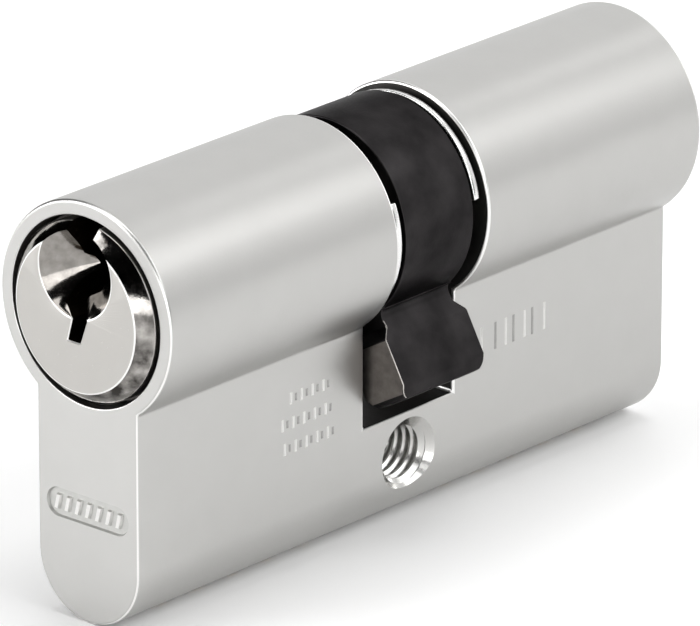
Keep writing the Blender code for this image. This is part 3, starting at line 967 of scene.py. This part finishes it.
def lever_side():
    """The lever seen along Y, as thickness and distance: fillets, neck, thick part, tip bevels."""
    fillet_x = NECK_HALF_THICKNESS + NECK_FILLET
    fillet_y = sqrt((RING_RADIUS + NECK_FILLET) ** 2 - fillet_x**2)
    on_ring = pi + atan2(fillet_y, fillet_x)
    bevel_foot = LEVER_TIP_RADIUS - TIP_BEVEL_LENGTH
    tip_half_angle = asin((LEVER_HALF_THICKNESS - TIP_BEVEL_THICKNESS) / LEVER_TIP_RADIUS)
    one_side = [(NECK_HALF_THICKNESS, LEVER_ROOT)]
    one_side += arc(fillet_x, fillet_y, NECK_FILLET, on_ring, pi, CORNER_STEPS)
    one_side += [
        (NECK_HALF_THICKNESS, THICKENING_START),
        (LEVER_HALF_THICKNESS, THICKENING_END),
        (LEVER_HALF_THICKNESS, bevel_foot),
    ]
    tip_start = pi / 2 - tip_half_angle
    tip = arc(0, 0, LEVER_TIP_RADIUS, tip_start, tip_start + 2 * tip_half_angle, TIP_STEPS)
    return one_side + tip + [(-x, y) for x, y in reversed(one_side)]


def lever_plan():
    """The lever seen square to its plate, as width and distance: shoulders, round corners."""
    corner_x = LEVER_HALF_WIDTH - LEVER_CORNER
    corner_y = LEVER_TIP_RADIUS - LEVER_CORNER
    one_side = [
        (RING_HALF_WIDTH, LEVER_ROOT - CUT_PAST),
        (RING_HALF_WIDTH, SHOULDER_START),
        (LEVER_HALF_WIDTH, SHOULDER_END),
    ]
    one_side += arc(corner_x, corner_y, LEVER_CORNER, 0, pi / 2, CORNER_STEPS)
    return one_side + [(-x, y) for x, y in reversed(one_side)]


def lever_mesh():
    """What the lever's side and plan outlines have in common."""
    side = extruded(lever_side(), LEVER_HALF_WIDTH + CUT_PAST, LEVER_NORMAL, LEVER_ALONG)
    plan = extruded(lever_plan(), LEVER_HALF_THICKNESS + CUT_PAST, Y_AXIS, LEVER_ALONG)
    return combined(painted(side, BLACKENED), painted(plan, BLACKENED), "INTERSECT")


def cam_mesh():
    """Ring and lever, with a bore from each side up to a web that has the couplers' slot."""
    ring = cylinder(RING_RADIUS, -RING_HALF_WIDTH, RING_HALF_WIDTH, Y_AXIS, segments=RING_ROUND)
    mesh = combined(painted(ring, BLACKENED), lever_mesh(), "UNION")
    mesh = bevelled(mesh, LEVER_EDGE)
    mesh.materials.append(SHEARED)
    # edge bevels facing along Y and off the plate get the wear and painted highlight
    mesh.materials.append(WORN_EDGE_AND_HIGHLIGHT)
    for polygon in mesh.polygons:
        off_axis = sqrt(polygon.center.x**2 + polygon.center.z**2)
        sideways = abs(polygon.normal.y)
        if off_axis < RING_RADIUS + NECK_FILLET:
            continue
        beside_ring = abs(polygon.center.y) > RING_HALF_WIDTH + LEVER_EDGE
        off_plate = polygon.normal.dot(LEVER_NORMAL)
        if sideways > FLANK_FACING and beside_ring:
            polygon.material_index = 1
        elif sideways > EDGE_FACING and off_plate > EDGE_FACING:
            polygon.material_index = 2
    for side in (-1, 1):
        bore = cylinder(BORE_RADIUS, WEB_HALF_WIDTH, RING_HALF_WIDTH + CUT_PAST, side * Y_AXIS)
        mesh = combined(mesh, painted(bore, COUPLER_STEEL), "DIFFERENCE")
    half_width = TONGUE_HALF_WIDTH + SLIDING_PLAY
    slot = box((-half_width, -CUT_PAST, -BORE_RADIUS), (half_width, CUT_PAST, BORE_RADIUS))
    return combined(mesh, painted(slot, COUPLER_STEEL), "DIFFERENCE")


def coupler_mesh():
    """Ear plate and tongue, with the plate's inner face at y = 0 and the tongue towards -Y."""
    thickness = 2 * WEB_HALF_WIDTH
    plate = cylinder(PLATE_RADIUS, -thickness, 0, Y_AXIS)
    trim = box(
        (-TONGUE_HALF_WIDTH, -thickness - CUT_PAST, -BORE_RADIUS),
        (TONGUE_HALF_WIDTH, CUT_PAST, BORE_RADIUS),
    )
    plate = combined(plate, trim, "INTERSECT")
    tongue = box(
        (-TONGUE_HALF_WIDTH, -thickness - TONGUE_LENGTH, -TONGUE_HALF_HEIGHT),
        (TONGUE_HALF_WIDTH, -thickness / 2, TONGUE_HALF_HEIGHT),
    )
    mesh = combined(painted(plate, COUPLER_STEEL), painted(tongue, COUPLER_STEEL), "UNION")
    return bevelled(mesh, COUPLER_EDGE, segments=2)


def circlip_mesh(gap_centre):
    """An open ring of flat spring steel, its gap placed clockwise from the top."""
    start = pi / 2 - gap_centre + CLIP_GAP_HALF
    end = pi / 2 - gap_centre - CLIP_GAP_HALF + 2 * pi
    outer_edge = arc(0, 0, CLIP_OUTER_RADIUS, start, end, CLIP_STEPS)
    inner_edge = arc(0, 0, CLIP_INNER_RADIUS, end, start, CLIP_STEPS)
    half_thickness = (circlip_high.y - circlip_low.y) / 2
    mesh = extruded(outer_edge + inner_edge, half_thickness, X_AXIS, Z_AXIS)
    return bevelled(painted(mesh, BRIGHT_STEEL), CLIP_EDGE)


# ---------------------------------------------------------------- pins and springs


def key_pin_mesh(length):
    """A key pin with its foot at zero height: chamfered foot, bevelled and rounded tip."""
    cone_foot = length - PIN_TIP_HEIGHT
    out, down = PIN_TIP_SHARES
    profile = [
        (0, length),
        (out * PIN_TIP_RADIUS, length - down * PIN_TIP_DROP),
        (PIN_TIP_RADIUS, length - PIN_TIP_DROP),
        (PIN_RADIUS, cone_foot),
        (PIN_RADIUS, PIN_CHAMFER),
        (PIN_RADIUS - CHAMFER_MIDDLE, CHAMFER_MIDDLE),
        (PIN_RADIUS - PIN_CHAMFER, 0),
        (0, 0),
    ]
    return painted(turned(profile, Z_AXIS, segments=PIN_ROUND), TURNED_BRASS)


def driver_pin_mesh(length):
    """A driver pin with its top at zero height and both ends chamfered."""
    half_profile = [
        (0, 0),
        (PIN_RADIUS - PIN_CHAMFER, 0),
        (PIN_RADIUS - CHAMFER_MIDDLE, -CHAMFER_MIDDLE),
        (PIN_RADIUS, -PIN_CHAMFER),
    ]
    profile = half_profile + [(radius, -length - z) for radius, z in reversed(half_profile)]
    return painted(turned(profile, Z_AXIS, segments=PIN_ROUND), PIN_STEEL)


def chamber_plug_mesh(length, radius):
    """A stopper whose lower end is milled to the leg's round edge. Its top is at zero height."""
    mesh = cylinder(radius, -length - CUT_PAST, 0, Z_AXIS, segments=PIN_ROUND)
    leg_end = cylinder(
        LEG_HALF_WIDTH,
        -2 * radius,
        2 * radius,
        Y_AXIS,
        (0, 0, LEG_HALF_WIDTH - length),
        segments=LEG_END_ROUND,
    )
    mesh = combined(painted(mesh, TURNED_BRASS), painted(leg_end, TURNED_BRASS), "INTERSECT")
    return bevelled(mesh, STOPPER_EDGE, segments=2)


def pin_spring_mesh(length):
    """A coil spring that stands on zero height, with a closed turn at each end."""
    count = SPRING_TURNS * SPRING_STEPS
    rise = length - 2 * SPRING_WIRE_RADIUS
    dead = DEAD_TURNS / SPRING_TURNS
    curve = bpy.data.curves.new("coil", "CURVE")
    curve.dimensions = "3D"
    curve.bevel_depth = SPRING_WIRE_RADIUS
    curve.bevel_resolution = 2
    curve.use_fill_caps = True
    spline = curve.splines.new("POLY")
    spline.points.add(count)
    closed_rise = DEAD_PITCH * DEAD_TURNS
    for i, point in enumerate(spline.points):
        share = i / count
        if share < dead:
            height = closed_rise * share / dead
        elif share > 1 - dead:
            height = rise - closed_rise * (1 - share) / dead
        else:
            height = closed_rise + (rise - 2 * closed_rise) * (share - dead) / (1 - 2 * dead)
        turn = 2 * pi * i / SPRING_STEPS
        point.co = (
            SPRING_RADIUS * cos(turn),
            SPRING_RADIUS * sin(turn),
            SPRING_WIRE_RADIUS + height,
            1,
        )

    def weld(shape):
        bmesh.ops.remove_doubles(shape, verts=shape.verts, dist=WELD)

    return painted(edited(evaluated_mesh(bench_object("coil", curve)), weld), SPRING_STEEL)


# ---------------------------------------------------------------- assembly


def add_piece(node, mesh, body, location, half_turn=False):
    """A fine piece that stands for the CAD node of the same name and rides on a body."""
    mesh.shade_smooth()
    mesh.set_sharp_from_angle(angle=SMOOTH_ANGLE)
    obj = bpy.data.objects.new(node + "_fine", mesh)
    bpy.context.scene.collection.objects.link(obj)
    obj.location = location
    obj.rotation_euler = (0, 0, pi if half_turn else 0)
    normals = obj.modifiers.new("normals", "WEIGHTED_NORMAL")
    normals.keep_sharp = True
    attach(obj, body)
    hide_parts(node)
    return obj


def centre_of(node):
    """The middle of a CAD node's box."""
    low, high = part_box(node)
    return (low + high) / 2


def top_centre(node):
    """The middle of the top of a CAD node's box."""
    low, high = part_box(node)
    return Vector(((low.x + high.x) / 2, (low.y + high.y) / 2, high.z))


def foot_centre(node):
    """The middle of the bottom of a CAD node's box."""
    low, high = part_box(node)
    return Vector(((low.x + high.x) / 2, (low.y + high.y) / 2, low.z))


def node_height(node):
    """The height of a CAD node's box."""
    low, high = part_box(node)
    return high.z - low.z


def add_end(side, half_turn, meshes):
    """The plug, circlip, coupler, pins, springs and stoppers of one end."""
    plug = side + "_plug"
    add_piece(plug, meshes["plug"], plug, BARREL_CENTRE, half_turn)
    circlip = side + "_circlip"
    clip_place = Vector((0, centre_of(circlip).y, AXIS_HEIGHT))
    clip_mesh = circlip_mesh(CLIP_GAPS[side])
    add_piece(circlip, clip_mesh, plug, clip_place, half_turn)
    coupler = side + "_coupler"
    low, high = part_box(coupler)
    coupler_place = Vector((0, low.y if half_turn else high.y, AXIS_HEIGHT))
    add_piece(coupler, meshes["coupler"], coupler, coupler_place, half_turn)
    for i in range(PIN_COUNT):
        number = f"_{i + 1}"
        key_pin = side + "_key_pin" + number
        driver = side + "_driver_pin" + number
        spring = side + "_pin_spring" + number
        stopper = side + "_chamber_plug" + number
        add_piece(key_pin, meshes["key_pins"][i], key_pin, foot_centre(key_pin))
        add_piece(driver, meshes["driver_pin"], driver, top_centre(driver))
        add_piece(stopper, meshes["chamber_plug"], "lock", top_centre(stopper))
        anchor = foot_centre(spring)
        coil = add_piece(spring, meshes["pin_spring"], "lock", anchor)
        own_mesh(coil)


def build_lock():
    """Every piece of the lock. The two ends share their meshes."""
    add_piece("housing", housing_mesh(), "lock", BARREL_CENTRE)
    add_piece("cam", cam_mesh(), "cam", BARREL_CENTRE)
    stopper_low, stopper_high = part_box("outer_chamber_plug_1")
    meshes = {
        "plug": plug_mesh(),
        "coupler": coupler_mesh(),
        "key_pins": [
            key_pin_mesh(node_height(f"outer_key_pin_{i + 1}")) for i in range(PIN_COUNT)
        ],
        "driver_pin": driver_pin_mesh(node_height("outer_driver_pin_1")),
        "pin_spring": pin_spring_mesh(node_height("outer_pin_spring_1")),
        "chamber_plug": chamber_plug_mesh(
            node_height("outer_chamber_plug_1"), (stopper_high.x - stopper_low.x) / 2
        ),
    }
    add_end("outer", False, meshes)
    add_end("inner", True, meshes)


# ---------------------------------------------------------------- studio


def direction_to(azimuth, elevation):
    """Unit vector to a place around the lock: azimuth from -Y towards +X, both in degrees."""
    level = cos(radians(elevation))
    across = radians(azimuth)
    return Vector((sin(across) * level, -cos(across) * level, sin(radians(elevation))))


def add_camera():
    """The camera at the photograph's viewing angle."""
    back = direction_to(CAMERA_AZIMUTH, CAMERA_ELEVATION)
    data = bpy.data.cameras.new("camera")
    data.lens = CAMERA_LENS
    data.sensor_width = CAMERA_SENSOR
    data.clip_start = CAMERA_NEAR
    data.clip_end = CAMERA_FAR
    camera = bpy.data.objects.new("camera", data)
    bpy.context.scene.collection.objects.link(camera)
    camera.location = CAMERA_AIM + back * CAMERA_DISTANCE
    camera.rotation_euler = back.to_track_quat("Z", "Y").to_euler()
    bpy.context.scene.camera = camera


def add_floor():
    """A plain pale floor just under the leg."""

    def make(shape):
        bmesh.ops.create_grid(
            shape, x_segments=FLOOR_CELLS, y_segments=FLOOR_CELLS, size=FLOOR_SIZE / 2
        )

    mesh = edited(bpy.data.meshes.new("floor"), make)
    material = bpy.data.materials.new("pale_floor")
    material.use_nodes = True
    shader = material.node_tree.nodes["Principled BSDF"]
    shader.inputs["Base Color"].default_value = (*FLOOR_COLOUR, 1)
    shader.inputs["Roughness"].default_value = FLOOR_ROUGHNESS
    mesh.materials.append(material)
    floor = bpy.data.objects.new("floor", mesh)
    floor.location = (0, 0, AXIS_HEIGHT + LEG_BOTTOM - FLOOR_GAP)
    bpy.context.scene.collection.objects.link(floor)


def add_softbox(name, azimuth, elevation, wide, high, brightness):
    """An area light that faces the lock and fills so many degrees around it, wide and high."""
    back = direction_to(azimuth, elevation)
    data = bpy.data.lights.new(name, "AREA")
    data.shape = "RECTANGLE"
    data.size = 2 * SOFTBOX_DISTANCE * tan(radians(wide / 2))
    data.size_y = 2 * SOFTBOX_DISTANCE * tan(radians(high / 2))
    data.energy = pi * data.size * data.size_y * brightness
    light = bpy.data.objects.new(name, data)
    light.location = back * SOFTBOX_DISTANCE
    light.rotation_euler = back.to_track_quat("Z", "Y").to_euler()
    light.visible_camera = False
    bpy.context.scene.collection.objects.link(light)


def add_sky():
    """Dark above the horizon, so that polished edges read dark, and pale below it."""
    world = bpy.data.worlds.new("studio")
    world.use_nodes = True
    nodes = world.node_tree.nodes
    links = world.node_tree.links
    direction = nodes.new("ShaderNodeTexCoord")
    parts = nodes.new("ShaderNodeSeparateXYZ")
    links.new(direction.outputs["Generated"], parts.inputs["Vector"])
    horizon = nodes.new("ShaderNodeMapRange")
    horizon.inputs["From Min"].default_value = -HORIZON_DEPTH
    horizon.inputs["From Max"].default_value = 0.0
    horizon.inputs["To Min"].default_value = GROUND_BRIGHTNESS
    horizon.inputs["To Max"].default_value = SKY_BRIGHTNESS
    links.new(parts.outputs["Z"], horizon.inputs["Value"])
    links.new(horizon.outputs["Result"], nodes["Background"].inputs["Strength"])
    bpy.context.scene.world = world


add_camera()
build_lock()
add_floor()
add_sky()
for softbox, place in SOFTBOXES.items():
    add_softbox(softbox, *place)
bpy.context.scene.view_settings.view_transform = "Standard"
